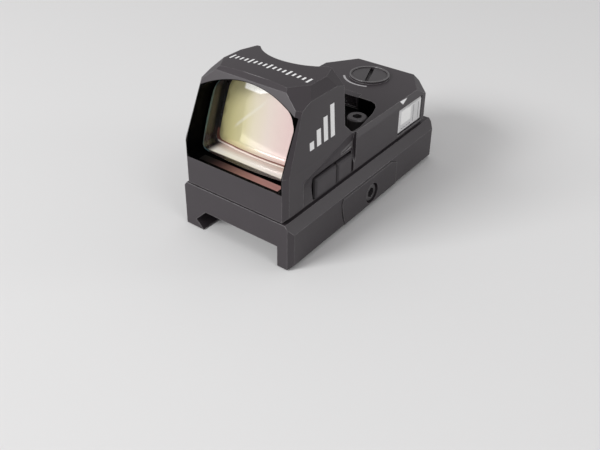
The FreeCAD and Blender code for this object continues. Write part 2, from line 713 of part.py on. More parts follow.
def battery_tray():
    b0, b1 = TRAY_BACK
    h0, h1 = TRAY_HEIGHT
    plate = box(HALF - PLATE, HALF, b0, b1, h0, h1).cut(tray_face_cutters())
    drawer = box(DRAWER_INNER, HALF - PLATE, b0, b1, h0, DRAWER_TOP)
    mid = (b0 + b1) / 2
    pocket = rod_z(h0 + 0.7, DRAWER_TOP + 0.5, CELL_X, mid, CELL_R + 0.08)
    slot = box(0, 6.8, mid - 0.8, mid + 0.8, h0 - 1, h0 + 2)
    return plate.fuse(drawer).cut([pocket, slot]).removeSplitter()


def tray_seal():
    b0, b1 = TRAY_BACK
    h0, h1 = TRAY_HEIGHT
    ring = box(HALF - PLATE - 0.28, HALF - PLATE, b0, b1, DRAWER_TOP + 0.3, h1)
    return ring.cut(box(0, 20, b0 + 0.8, b1 - 0.8, DRAWER_TOP + 0.9, h1 - 0.7))


def battery():
    mid = (TRAY_BACK[0] + TRAY_BACK[1]) / 2
    h = TRAY_HEIGHT[0] + 0.72
    can = rod_z(h + 0.3, h + CELL_HEIGHT, CELL_X, mid, CELL_R)
    return can.fuse(rod_z(h, h + 0.3, CELL_X, mid, CELL_R - 0.6)).removeSplitter()


def contact_positive():
    strip = box(3.4, 9.8, 45.6, 47.6, 11.3, 11.45)
    return strip.fuse(box(6.4, 8.4, 45.6, 47.6, 10.95, 11.3)).removeSplitter()


def contact_negative():
    pin = rod_z(6.3, 8.15, 6.0, 46.6, 0.5)
    return pin.fuse(rod_z(6.1, 6.3, 6.0, 46.6, 0.9))


def tray_mark():
    """Small bright triangle let into the bevel above the drawer."""
    blade = slab_x([(41.9, 15.75), (45.1, 15.55), (42.9, 14.75)], 12.0, HALF + 0.2)
    return blade.common(body()).cut(lowered_body())


def lowered_body():
    """Body core that leaves a skin half a millimetre thick on the right-hand bevel."""
    core = body()
    core.translate(V(-0.5, 0, 0))
    return core


PARTS = {
    "rail_base": rail_base,
    "clamp_jaw": clamp_jaw,
    "clamp_bolt": clamp_bolt,
    "bolt_clip": bolt_clip,
    "guide_pins": guide_pins,
    "clamp_springs": clamp_springs,
    "locating_pins": locating_pins,
    "base_gasket": base_gasket,
    "mounting_screws": mounting_screws,
    "lens_front": lens_front,
    "lens_rear": lens_rear,
    "lens_bond": lens_bond,
    "elevation_screw": elevation_screw,
    "elevation_seal": elevation_seal,
    "elevation_slider": elevation_slider,
    "elevation_spring": elevation_spring,
    "windage_screw": windage_screw,
    "windage_seal": windage_seal,
    "windage_spring": windage_spring,
    "emitter_carriage": emitter_carriage,
    "led_emitter": led_emitter,
    "emitter_window": emitter_window,
    "click_plungers": click_plungers,
    "main_board": main_board,
    "board_screws": board_screws,
    "board_chips": board_chips,
    "emitter_flex": emitter_flex,
    "switch_board": switch_board,
    "key_switches": key_switches,
    "key_membrane": key_membrane,
    "battery_tray": battery_tray,
    "tray_seal": tray_seal,
    "battery": battery,
    "contact_positive": contact_positive,
    "contact_negative": contact_negative,
    "tray_mark": tray_mark,
}

os.makedirs("parts", exist_ok=True)
save("housing", housing())
for name, make in PARTS.items():
    save(name, make())
for name, span in zip(("key_up", "key_down"), KEYS):
    save(name, key(span))
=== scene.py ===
import json
import math
import bpy
import bmesh
from mathutils import Matrix, Vector


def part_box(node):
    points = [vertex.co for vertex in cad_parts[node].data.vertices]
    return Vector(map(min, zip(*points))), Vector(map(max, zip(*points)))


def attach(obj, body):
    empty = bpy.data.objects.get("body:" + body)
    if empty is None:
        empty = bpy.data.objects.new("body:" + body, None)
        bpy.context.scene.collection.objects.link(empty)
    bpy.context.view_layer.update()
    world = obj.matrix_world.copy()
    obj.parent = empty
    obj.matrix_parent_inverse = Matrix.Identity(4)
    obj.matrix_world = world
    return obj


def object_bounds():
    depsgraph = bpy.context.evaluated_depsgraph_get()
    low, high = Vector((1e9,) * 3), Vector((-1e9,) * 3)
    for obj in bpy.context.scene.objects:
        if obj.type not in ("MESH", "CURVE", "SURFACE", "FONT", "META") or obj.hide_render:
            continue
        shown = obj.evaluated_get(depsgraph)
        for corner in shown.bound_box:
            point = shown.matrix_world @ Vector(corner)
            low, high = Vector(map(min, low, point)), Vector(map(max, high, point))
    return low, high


# Compact open red dot finder: hooded reflex lens, low deck with adjusters, rail clamp below.
# Row frame in metres: -Y is the lens end, +Z up, +X the side with the keys.

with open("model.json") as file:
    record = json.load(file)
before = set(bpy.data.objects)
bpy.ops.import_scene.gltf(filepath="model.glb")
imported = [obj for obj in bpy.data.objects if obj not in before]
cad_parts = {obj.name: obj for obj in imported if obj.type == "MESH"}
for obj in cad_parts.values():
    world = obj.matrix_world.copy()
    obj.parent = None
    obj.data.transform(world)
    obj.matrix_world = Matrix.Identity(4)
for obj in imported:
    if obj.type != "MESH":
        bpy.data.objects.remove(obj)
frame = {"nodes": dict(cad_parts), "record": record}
cad_low, cad_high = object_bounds()
nodes = frame["nodes"]

MM = 0.001
FRONT = cad_low.y
TILT = math.radians(22.0)
LENS_AXIS = Vector((0, math.cos(TILT), -math.sin(TILT)))
ACROSS = Vector((1, 0, 0))
UP = Vector((0, 0, 1))

# shape facts used for the markings and the tints, millimetres
CREASE = 15.6
SIDE_FOOT = 13.2
SIDE_SLOPE = 0.8 / 12.9
CROWN = 31.0
CROWN_R = 127.4
DECK = 15.8
DIAL_BACK = 49.4
TUNNEL_HALF = 12.1
TUNNEL_FLOOR = 12.16
TUNNEL_ROOF = 29.76
TUNNEL_ROOF_BOW = -23.0
TUNNEL_END = 19.6
WELL_START = 19.2
WELL_END = 39.05
WELL_TOP = 15.72

# how far a marking stands above the surface it lies on, and reaches below it
PAINT_LIFT = 0.02 * MM
LINE_LIFT = 0.015 * MM
PAINT_SINK = 0.05 * MM

# tones, linear
CHARCOAL = (0.032, 0.0265, 0.0305)
WORN_AND_HIGHLIGHT_ALLOY = (0.21, 0.2, 0.205)
SHADE_BLACK = (0.002, 0.002, 0.002)
# painted reflections on the coat: a faint streak and a soft window highlight
PAINTED_STREAK = (0.95, 0.92, 0.82)
WINDOW_GLARE = (1.0, 0.99, 0.95)
RED_BROWN = (0.2, 0.07, 0.05)

# colours of the coat, from the plain side of the finder to the side with the keys: partly the
# coat's own tint, partly painted reflection of the bright surroundings and of the colour shift
# the film shows as the view turns
COAT_TINTS_AND_REFLECTION = [
    (0.0, (0.68, 0.62, 0.30)),
    (0.16, (0.76, 0.70, 0.42)),
    (0.32, (0.86, 0.78, 0.60)),
    (0.58, (0.90, 0.78, 0.70)),
    (1.0, (0.94, 0.69, 0.68)),
]
# colours of the doublet's edge from its front to its rear, along the foot and up the sides:
# painted cream light along the foot, painted shade up the sides
FOOT_LIGHT_TINTS = [
    (0.0, (0.02, 0.012, 0.012)),
    (0.16, (0.03, 0.018, 0.016)),
    (0.24, (0.96, 0.9, 0.8)),
    (0.5, (1.0, 0.96, 0.91)),
    (0.8, (0.94, 0.84, 0.76)),
    (1.0, (0.8, 0.6, 0.52)),
]
# painted shade up the sides, near black, with a painted teal reflection towards the front
SIDE_SHADE_TINTS = [
    (0.0, (0.08, 0.17, 0.19)),
    (0.16, (0.012, 0.01, 0.012)),
    (0.5, (0.05, 0.03, 0.03)),
    (0.7, (0.01, 0.008, 0.008)),
    (1.0, (0.02, 0.014, 0.013)),
]


def place(x, back, height):
    """Row position from millimetres: across, behind the front face, above the rail seat."""
    return Vector((x * MM, FRONT + back * MM, height * MM))


# ---------------------------------------------------------------- shader helpers
class Graph:
    """Short-hand for one node material built round a Principled shader."""

    def __init__(self, name):
        self.mat = bpy.data.materials.new(name)
        self.mat.use_nodes = True
        self.tree = self.mat.node_tree
        self.shader = self.tree.nodes["Principled BSDF"]
        self.coords = self.add("ShaderNodeTexCoord").outputs["Object"]

    def add(self, kind, **settings):
        item = self.tree.nodes.new(kind)
        for key, value in settings.items():
            setattr(item, key, value)
        return item

    def put(self, socket, value):
        if isinstance(value, bpy.types.NodeSocket):
            self.tree.links.new(value, socket)
        elif isinstance(value, (tuple, list)) and len(value) == 3 and socket.type == "RGBA":
            socket.default_value = (*value, 1.0)
        else:
            socket.default_value = value

    def set(self, **values):
        for key, value in values.items():
            self.put(self.shader.inputs[key.replace("_", " ")], value)

    def math(self, op, *values):
        item = self.add("ShaderNodeMath", operation=op)
        for socket, value in zip(item.inputs, values):
            self.put(socket, value)
        return item.outputs[0]

    def product(self, first, *others):
        total = first
        for factor in others:
            total = self.math("MULTIPLY", total, factor)
        return total

    def step(self, value, low, high):
        """0 below low, 1 above high, smooth between; high may be the smaller one."""
        item = self.add("ShaderNodeMapRange", interpolation_type="SMOOTHSTEP")
        self.put(item.inputs["Value"], value)
        item.inputs["From Min"].default_value = low
        item.inputs["From Max"].default_value = high
        return item.outputs[0]

    def span(self, value, low, high):
        """Stretches 0..1 to low..high."""
        item = self.add("ShaderNodeMapRange")
        self.put(item.inputs["Value"], value)
        item.inputs["To Min"].default_value = low
        item.inputs["To Max"].default_value = high
        return item.outputs[0]

    def noise(self, scale, detail=2.0, rough=0.5, vector=None):
        item = self.add("ShaderNodeTexNoise")
        self.put(item.inputs["Vector"], vector or self.coords)
        item.inputs["Scale"].default_value = scale
        item.inputs["Detail"].default_value = detail
        item.inputs["Roughness"].default_value = rough
        return item.outputs["Fac"]

    def wander(self, scale, reach):
        """Noise round zero that spans one reach in all."""
        return self.math("MULTIPLY", self.math("SUBTRACT", self.noise(scale, 3), 0.5), reach)

    def streaks(self, detail, rough, scales):
        """Noise with a scale of its own on each axis, longest where the scale is smallest."""
        item = self.add("ShaderNodeMapping")
        self.put(item.inputs["Vector"], self.coords)
        item.inputs["Scale"].default_value = scales
        return self.noise(1.0, detail, rough, item.outputs[0])

    def split(self):
        item = self.add("ShaderNodeSeparateXYZ")
        self.put(item.inputs[0], self.coords)
        return item.outputs[0], item.outputs[1], item.outputs[2]

    def mix(self, factor, a, b):
        item = self.add("ShaderNodeMix", data_type="RGBA")
        self.put(item.inputs["Factor"], factor)
        self.put(item.inputs[6], a)
        self.put(item.inputs[7], b)
        return item.outputs[2]

    def ramp(self, value, stops):
        item = self.add("ShaderNodeValToRGB")
        self.put(item.inputs[0], value)
        band = item.color_ramp
        while len(band.elements) < len(stops):
            band.elements.new(0.5)
        for element, (at, colour) in zip(band.elements, stops):
            element.position = at
            element.color = (*colour, 1.0)
        return item.outputs["Color"]

    def rounded(self, radius):
        item = self.add("ShaderNodeBevel", samples=6)
        item.inputs["Radius"].default_value = radius
        return item.outputs[0]

    def edges(self, radius, flat, sharp):
        """Mask of the convex and concave edges within a radius.

        The limits are cosines of the turn between the true and the rounded surface.
        """
        item = self.add("ShaderNodeVectorMath", operation="DOT_PRODUCT")
        self.put(item.inputs[0], self.rounded(radius))
        self.put(item.inputs[1], self.add("ShaderNodeNewGeometry").outputs["Normal"])
        return self.step(item.outputs["Value"], flat, sharp)

    def bump(self, height, strength, distance, normal=None):
        item = self.add("ShaderNodeBump")
        item.inputs["Strength"].default_value = strength
        item.inputs["Distance"].default_value = distance
        self.put(item.inputs["Height"], height)
        if normal is not None:
            self.put(item.inputs["Normal"], normal)
        self.put(self.shader.inputs["Normal"], item.outputs[0])


def scaled(colour, factor):
    return tuple(channel * factor for channel in colour)


# ---------------------------------------------------------------- materials
def alloy(name, base, rough, shade_hollows=False):
    """Hard-anodised alloy: blasted grain, faint clouding, edges a little lighter, partly rubbed
    wear and partly painted edge highlight.
    """
    g = Graph(name)
    metal = 0.05
    fine = g.noise(5200, 3, 0.6)
    cloud = g.noise(130, 4)
    colour = g.mix(cloud, scaled(base, 0.86), scaled(base, 1.14))
    colour = g.mix(g.math("MULTIPLY", fine, 0.3), colour, scaled(base, 1.5))
    patches = g.step(g.noise(900, 3, 0.65), 0.36, 0.62)
    # lighter edges: partly wear, partly painted highlight along the edges
    lighter_edges = g.product(g.edges(0.24 * MM, 0.985, 0.86), g.math("MULTIPLY_ADD", patches, 0.75, 0.5))
    colour = g.mix(lighter_edges, colour, WORN_AND_HIGHLIGHT_ALLOY)
    # painted shade: the tunnel and the well behind it turn flat black, rougher and fully
    # metallic, far darker than the alloy outside
    if shade_hollows:
        inside = hollow_shade_mask(g)
        colour = g.mix(inside, colour, SHADE_BLACK)
        roughness = g.math("MULTIPLY_ADD", inside, 0.25, rough)
        metal = g.math("ADD", g.math("MULTIPLY", inside, 1.0 - metal), metal)
    else:
        roughness = g.span(g.noise(2600, 2), rough - 0.06, rough + 0.08)
    g.set(Base_Color=colour, Roughness=roughness, Metallic=metal)
    g.bump(fine, 0.25, 0.012 * MM, g.rounded(0.13 * MM))
    return g.mat


def hollow_shade_mask(g):
    """1 inside the light tunnel and the open space behind it, which get painted shade: flat
    black.
    """
    x, y, z = g.split()
    fade = 0.1
    half = g.math("ABSOLUTE", x)
    within = g.step(half, (TUNNEL_HALF + 0.12) * MM, (TUNNEL_HALF + 0.06) * MM)
    above = g.step(z, (TUNNEL_FLOOR - 0.02) * MM, (TUNNEL_FLOOR + 0.01) * MM)
    bow = g.math("MULTIPLY", g.math("POWER", half, 2.0), TUNNEL_ROOF_BOW)
    below = g.math("GREATER_THAN", g.math("ADD", bow, TUNNEL_ROOF * MM), z)
    ahead = g.step(y, FRONT + TUNNEL_END * MM, FRONT + (TUNNEL_END - fade) * MM)
    low = g.step(z, WELL_TOP * MM, (WELL_TOP - 0.12) * MM)
    behind = g.step(y, FRONT + WELL_START * MM, FRONT + (WELL_START + fade) * MM)
    before = g.step(y, FRONT + WELL_END * MM, FRONT + (WELL_END - fade) * MM)
    either = g.math("MAXIMUM", g.product(below, ahead), g.product(low, behind, before))
    return g.product(within, above, either)


def steel(name, base, rough, worn, metal):
    """Turned steel, a little smeared, with bright rubbed edges."""
    g = Graph(name)
    smear = g.noise(700, 3, 0.6)
    colour = g.mix(smear, scaled(base, 0.8), scaled(base, 1.2))
    lighter_edges = g.edges(0.12 * MM, 0.985, 0.85)
    colour = g.mix(g.math("MULTIPLY", lighter_edges, 0.8), colour, worn)
    g.set(Base_Color=colour, Roughness=g.span(smear, rough - 0.07, rough + 0.09), Metallic=metal)
    g.bump(g.noise(7000, 2), 0.18, 0.008 * MM, g.rounded(0.1 * MM))
    return g.mat


def silver(name):
    """Satin silver alloy with lengthwise brushing."""
    g = Graph(name)
    brushed = g.streaks(4, 0.7, (900, 420, 9000))
    cloud = g.noise(300, 2)
    colour = g.mix(brushed, (0.62, 0.62, 0.63), (0.9, 0.9, 0.9))
    g.set(Base_Color=colour, Roughness=g.span(cloud, 0.24, 0.4), Metallic=0.85)
    g.bump(brushed, 0.3, 0.01 * MM, g.rounded(0.12 * MM))
    return g.mat


def rubber(name, base, rough=0.72):
    """Moulded rubber: fine matt texture, soft edges, slightly uneven tone."""
    g = Graph(name)
    fine = g.noise(4200, 3, 0.65)
    colour = g.mix(g.noise(260, 3), scaled(base, 0.8), scaled(base, 1.3))
    g.set(Base_Color=colour, Roughness=g.span(fine, rough - 0.08, rough + 0.1))
    g.bump(fine, 0.35, 0.02 * MM, g.rounded(0.2 * MM))
    return g.mat


def plain(name, base, rough, metal=0.0, grain=900.0):
    """Even surface with a faint speckle."""
    g = Graph(name)
    speck = g.noise(grain, 3)
    g.set(Base_Color=g.mix(speck, scaled(base, 0.85), scaled(base, 1.1)), Metallic=metal)
    g.set(Roughness=g.span(speck, rough - 0.05, rough + 0.05))
    g.bump(speck, 0.1, 0.01 * MM)
    return g.mat


def clear(name, tint, opacity):
    """Glass with a faint film and a sharp gloss, as see-through as its opacity leaves it."""
    g = Graph(name)
    film = g.mix(g.noise(60, 2), scaled(tint, 0.94), tint)
    g.set(Base_Color=film, Roughness=0.03, Alpha=opacity, IOR=1.6, Coat_Weight=1.0)
    return g.mat


def board(name):
    """Green solder mask with faint copper tracks under it."""
    g = Graph(name)
    wave = g.add("ShaderNodeTexWave", bands_direction="X")
    g.put(wave.inputs["Vector"], g.coords)
    wave.inputs["Scale"].default_value = 260
    wave.inputs["Distortion"].default_value = 2.5
    tracks = g.step(wave.outputs["Fac"], 0.7, 0.8)
    colour = g.mix(tracks, (0.01, 0.11, 0.045), (0.03, 0.21, 0.08))
    g.set(Base_Color=colour, Roughness=0.35, Coat_Weight=0.4)
    g.bump(tracks, 0.2, 0.02 * MM)
    return g.mat


def painted(name, tone):
    """Printed marking paint with a slight speckle."""
    g = Graph(name)
    speck = g.noise(3000, 3, 0.6)
    g.set(Base_Color=g.mix(speck, scaled(tone, 0.88), tone), Roughness=g.span(speck, 0.45, 0.65))
    g.bump(speck, 0.3, 0.01 * MM)
    return g.mat


def coat_painted_streak(g, x, z):
    """Painted reflection: a faint straight streak that climbs towards the side with the keys at
    nearly 45 degrees.
    """
    aside, up, offset = 0.702, 0.712, 16.93
    across = g.math("ADD", g.math("MULTIPLY", x, -aside), g.math("MULTIPLY", z, up))
    off_line = g.math("ABSOLUTE", g.math("SUBTRACT", across, offset * MM))
    on_line = g.step(off_line, 0.5 * MM, 0.05 * MM)
    upper_end = g.step(x, 0.8 * MM, -1.2 * MM)
    lower_end = g.step(x, -7.2 * MM, -5.6 * MM)
    return g.product(on_line, upper_end, lower_end)


def coat_painted_highlight(g, x, z):
    """Painted highlight: a soft bright patch under the top edge; its foot rises towards the side
    with the keys.
    """
    bend, rise = 2.1, 0.35
    past_bend = g.math("MAXIMUM", g.math("ADD", x, bend * MM), 0.0)
    above_foot = g.math("SUBTRACT", z, g.math("MULTIPLY", past_bend, rise))
    foot = g.step(above_foot, 24.5 * MM, 24.9 * MM)
    plain_end = g.step(x, -6.7 * MM, -6.0 * MM)
    keys_end = g.step(x, 0.9 * MM, -0.2 * MM)
    return g.product(foot, plain_end, keys_end)


def coating():
    """Reflective dichroic coat: yellow-green at one side through beige to rose, partly its own
    tint and partly painted reflection.

    From behind it is half see-through and shows neither the painted streak nor the painted
    highlight patch.
    """
    g = Graph("reflex_coating")
    x, _, z = g.split()
    behind = g.add("ShaderNodeNewGeometry").outputs["Backfacing"]
    ahead = g.math("SUBTRACT", 1.0, behind)
    slant = g.math("ADD", x, g.wander(110, 3.0 * MM))
    slant = g.math("ADD", slant, g.math("MULTIPLY", z, 0.18))
    # painted reflection mixed with the coat's own tint, laid out by position across the coat
    tint = g.ramp(g.step(slant, -7.0 * MM, 15.0 * MM), COAT_TINTS_AND_REFLECTION)
    # painted reflection streak and painted highlight patch, on the front side only
    streak = g.product(coat_painted_streak(g, x, z), ahead)
    window = g.product(coat_painted_highlight(g, x, z), ahead)
    tint = g.mix(g.math("MULTIPLY", streak, 0.45), tint, PAINTED_STREAK)
    tint = g.mix(g.math("MULTIPLY", window, 0.9), tint, WINDOW_GLARE)
    g.set(Base_Color=tint, Metallic=0.3, Roughness=0.1, Coat_Weight=1.0)
    # painted light: the coat glows faintly all over, and more strongly under the painted
    # highlight patch
    g.set(Emission_Color=tint, Emission_Strength=g.span(window, 0.16, 0.6))
    g.set(Alpha=g.math("SUBTRACT", 0.97, g.math("MULTIPLY", behind, 0.5)))
    return g.mat


def ground_edge():
    """Edge of the doublet seen through its front: painted cream light below, painted near-black
    shade at the sides.
    """
    g = Graph("lens_ground_edge")
    x, y, z = g.split()
    cos, sin = math.cos(TILT), math.sin(TILT)
    depth = g.math("SUBTRACT", g.math("MULTIPLY", y, cos), g.math("MULTIPLY", z, sin))
    lens_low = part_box("lens_front")[0]
    start = lens_low.y * cos - lens_low.z * sin
    along = g.ramp(g.step(depth, start - 0.2 * MM, start + 4.2 * MM), FOOT_LIGHT_TINTS)
    side = g.ramp(g.step(depth, start, start + 4.5 * MM), SIDE_SHADE_TINTS)
    foot = g.step(z, (TUNNEL_FLOOR + 2.6) * MM, (TUNNEL_FLOOR + 1.5) * MM)
    reach = g.step(x, -10.6 * MM, -8.6 * MM)
    g.set(Base_Color=g.mix(g.product(foot, reach), side, along), Roughness=0.22, Coat_Weight=0.6)
    g.bump(g.noise(900, 3), 0.12, 0.02 * MM)
    return g.mat


def lens_rim():
    """Uncoated rim: a red-brown line under the coat, painted cream light below it, painted
    brown-black shade at the sides.
    """
    g = Graph("lens_rim")
    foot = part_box("lens_rear")[0].z
    height = g.math("ADD", g.split()[2], g.wander(420, 0.3 * MM))
    lit = g.mix(g.noise(260, 3), (0.96, 0.9, 0.8), (0.86, 0.68, 0.6))
    lit = g.mix(g.step(height, foot + 0.4 * MM, foot + 0.6 * MM), lit, RED_BROWN)
    side = g.mix(g.noise(500, 3), (0.05, 0.028, 0.024), (0.012, 0.02, 0.022))
    low = g.step(height, foot + 3.1 * MM, foot + 2.5 * MM)
    g.set(Base_Color=g.mix(low, side, lit), Roughness=0.25, Coat_Weight=0.4)
    return g.mat


def rose_reflection_sill():
    """Polished sill in front of the lens with a painted rose reflection of the coat, fading to
    black towards the plain side.
    """
    g = Graph("rose_reflection_sill")
    reach = g.step(g.split()[0], -8.0 * MM, 7.0 * MM)
    rose = g.mix(g.streaks(3, 0.6, (120, 900, 900)), (0.26, 0.10, 0.09), (0.50, 0.26, 0.23))
    g.set(Base_Color=g.mix(reach, (0.006, 0.005, 0.005), rose), Roughness=0.28, Metallic=0.2)
    return g.mat


# looks of the CAD nodes, by node name or by material slot, and then of the added pieces
LOOKS = {
    "housing": alloy("housing_alloy", CHARCOAL, 0.42, shade_hollows=True),
    "rail_base": alloy("base_alloy", CHARCOAL, 0.44),
    "clamp_jaw": alloy("jaw_alloy", scaled(CHARCOAL, 0.92), 0.44),
    "black_steel": steel("black_steel", (0.085, 0.08, 0.084), 0.38, (0.34, 0.33, 0.33), 0.6),
    "steel": steel("bright_steel", (0.5, 0.5, 0.51), 0.3, (0.8, 0.8, 0.8), 1.0),
    "silver_alloy": silver("satin_silver"),
    "coated_glass": clear("lens_glass", (0.02, 0.03, 0.03), 0.05),
    "clear_window": clear("window_glass", (0.015, 0.012, 0.014), 0.86),
    "sealant": rubber("black_sealant", (0.008, 0.008, 0.008), 0.5),
    "black_rubber": rubber("black_rubber", (0.05, 0.045, 0.049)),
    "brass_parts": plain("machined_brass", (0.72, 0.5, 0.2), 0.32, 1.0, 1500),
    "circuit_board": board("solder_mask"),
    "chip_plastic": plain("chip_plastic", (0.022, 0.022, 0.023), 0.5),
    "amber_film": plain("amber_film", (0.6, 0.28, 0.05), 0.3),
    "red_emitter": plain("red_emitter", (0.8, 0.05, 0.03), 0.2),
    "cell_steel": plain("cell_steel", (0.75, 0.75, 0.76), 0.25, 1.0),
    "paint": painted("white_paint", (0.86, 0.86, 0.86)),
    "grey_paint": painted("grey_paint", (0.42, 0.41, 0.42)),
    # pale steel of the ring on the elevation collar, a painted edge highlight
    "turned_edge": steel("turned_edge", (0.16, 0.155, 0.16), 0.35, (0.3, 0.3, 0.3), 0.6),
    "label": painted("label_white", (0.95, 0.95, 0.94)),
    "engraving": plain("engraving", (0.3, 0.3, 0.31), 0.5),
    "coating": coating(),
    "ground_edge": ground_edge(),
    "margin": lens_rim(),
    "sill": rose_reflection_sill(),
}


def dress_nodes():
    slots = {row["node"]: row["material_slot"] for row in frame["record"]["subparts"]}
    for name, obj in nodes.items():
        look = LOOKS.get(name) or LOOKS[slots[name]]
        obj.data.materials.clear()
        obj.data.materials.append(look)


# ---------------------------------------------------------------- markings
def piece(name, bm, look, smooth=False, body="frame"):
    mesh = bpy.data.meshes.new(name)
    bmesh.ops.recalc_face_normals(bm, faces=bm.faces)
    bm.to_mesh(mesh)
    bm.free()
    for face in mesh.polygons:
        face.use_smooth = smooth
    obj = bpy.data.objects.new(name, mesh)
    bpy.context.scene.collection.objects.link(obj)
    mesh.materials.append(LOOKS[look])
    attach(obj, body)
    return obj


def add_tile(bm, corners, out, lift=PAINT_LIFT, sink=PAINT_SINK):
    """Closed prism over one outline, from just under a surface to just above it."""
    top = [bm.verts.new(p + out * lift) for p in corners]
    low = [bm.verts.new(p - out * sink) for p in corners]
    bm.faces.new(top)
    bm.faces.new(list(reversed(low)))
    for i in range(len(corners)):
        j = (i + 1) % len(corners)
        bm.faces.new((top[i], low[i], low[j], top[j]))


def rectangle(surface, u0, u1, v0, v1):
    """Corners on a surface that is given as a function of two measures."""
    return [surface(u0, v0), surface(u1, v0), surface(u1, v1), surface(u0, v1)]


def side_wall(back, height):
    return place(SIDE_FOOT - (height - CREASE) * SIDE_SLOPE, back, height)


def roof(x, back):
    return place(x, back, CROWN - x * x / (2 * CROWN_R))


def drawer_face(back, height):
    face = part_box("battery_tray")[1].x / MM
    return place(face, back, height)


def side_bars():
    """Four plain ascending bars painted on the side of the hood."""
    bm = bmesh.new()
    out = Vector((1, 0, SIDE_SLOPE)).normalized()
    start, width, pitch = 7.6, 1.35, 2.3
    foot, shortest, growth = 18.6, 1.7, 1.75
    for i in range(4):
        back = start + pitch * i
        top = foot + shortest + growth * i
        add_tile(bm, rectangle(side_wall, back, back + width, foot, top), out)
    return piece("side_bars", bm, "paint")


def hood_ticks():
    """Plain row of painted ticks across the top of the hood, every fourth one longer."""
    bm = bmesh.new()
    middle, pitch, half, short, long = 11.9, 1.18, 0.22, 0.6, 0.95
    for i in range(-8, 9):
        x = i * pitch
        reach = long if i % 4 == 0 else short
        out = Vector((x / CROWN_R, 0, 1)).normalized()
        add_tile(bm, rectangle(roof, x - half, x + half, middle - reach, middle + reach), out)
    return piece("hood_ticks", bm, "paint")


def drawer_label():
    """Bright plain label on the front half of the battery drawer's face."""
    bm = bmesh.new()
    start, end, foot, top = 42.3, 46.7, 9.8, 13.1
    add_tile(bm, rectangle(drawer_face, start, end, foot, top), ACROSS)
    return piece("drawer_label", bm, "label", body="tray")


def drawer_lines():
    """Row of grey dashes under the label and two upright lines behind it, laid on the face."""
    bm = bmesh.new()
    half = 0.11
    start, pitch, dash, row = 42.6, 1.15, 0.75, 8.7
    foot, top = 8.6, 12.9
    outlines = []
    for i in range(4):
        back = start + pitch * i
        outlines.append((back, back + dash, row - half, row + half))
    for back in (47.9, 50.2):
        outlines.append((back - half, back + half, foot, top))
    for outline in outlines:
        add_tile(bm, rectangle(drawer_face, *outline), ACROSS, LINE_LIFT)
    return piece("drawer_lines", bm, "engraving", body="tray")


def dial_section(bm, r0, r1, z0, z1, angle):
    """Rectangular section of a ring round the elevation screw, at an angle from +X."""
    spots = [(r0, z0), (r1, z0), (r1, z1), (r0, z1)]
    c, s = math.cos(angle), math.sin(angle)
    return [bm.verts.new(place(r * c, DIAL_BACK + r * s, z)) for r, z in spots]


def join_sections(bm, rows):
    """Side faces between neighbouring sections."""
    for a, b in zip(rows, rows[1:]):
        for k in range(4):
            n = (k + 1) % 4
            bm.faces.new((a[k], a[n], b[n], b[k]))


def dial_arc():
    """Pale flat arc on the deck, ahead of the elevation screw."""
    bm = bmesh.new()
    start, end, steps = -146, -64, 28
    inner, outer, low, high = 5.75, 6.25, DECK - 0.05, DECK + 0.02
    rows = []
    for i in range(steps + 1):
        angle = math.radians(start + (end - start) * i / steps)
        rows.append(dial_section(bm, inner, outer, low, high, angle))
    join_sections(bm, rows)
    bm.faces.new(rows[0])
    bm.faces.new(list(reversed(rows[-1])))
    return piece("dial_arc", bm, "grey_paint")


def collar_highlight_ring():
    """Pale ring on the edge of the collar of the elevation screw, a painted edge highlight paler
    than the black steel round it.
    """
    bm = bmesh.new()
    steps = 96
    inner, outer, low, high = 4.45, 4.74, 16.3, 16.39
    turns = [math.tau * i / steps for i in range(steps)]
    rows = [dial_section(bm, inner, outer, low, high, angle) for angle in turns]
    join_sections(bm, rows + rows[:1])
    return piece("collar_highlight_ring", bm, "turned_edge")


# ---------------------------------------------------------------- lens pieces
# cosines against the lens axis: above the first is the rear surface, below the second the edge
REAR_FACING = 0.6
EDGE_FACING = 0.62
# sizes against the outline of the lens, across, lengthwise and upwards
COAT_REACH = Vector((0.915, 0.905, 0.905))
RIM_REACH = Vector((0.985, 0.985, 0.985))
EDGE_REACH = (0.994, 1.0, 0.992)
MARGIN_OVERLAP = 0.985
# how far in front of the rear surface the coat and its margin lie, and how thick they are
COAT_DEPTH = 0.12 * MM
MARGIN_DEPTH = 0.06 * MM
SKIN = 0.03 * MM
WELD = 0.002 * MM


def faces_like(name, keep):
    """Welded copy of the faces of a node's mesh that pass a test."""
    bm = bmesh.new()
    bm.from_mesh(nodes[name].data)
    bmesh.ops.remove_doubles(bm, verts=bm.verts, dist=WELD)
    bm.normal_update()
    bmesh.ops.delete(bm, geom=[f for f in bm.faces if not keep(f.normal)], context="FACES")
    return bm


def edge_faces(name):
    return faces_like(name, lambda n: abs(n.dot(LENS_AXIS)) < EDGE_FACING)


def rear_surface():
    bm = faces_like("lens_rear", lambda n: n.dot(LENS_AXIS) > REAR_FACING)
    low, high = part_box("lens_rear")
    return bm, (low + high) / 2


def shrunk(point, centre, reach):
    return Vector(c + (p - c) * r for p, c, r in zip(point, centre, reach))


def thicken(obj):
    thick = obj.modifiers.new("thick", "SOLIDIFY")
    thick.thickness = SKIN
    thick.offset = 0
    return obj


def lens_coating():
    """Thin reflective coat on the rear surface of the doublet, inside a clear margin."""
    bm, centre = rear_surface()
    for v in bm.verts:
        v.co = shrunk(v.co, centre, COAT_REACH) - LENS_AXIS * COAT_DEPTH
    return thicken(piece("lens_coating", bm, "coating", smooth=True))


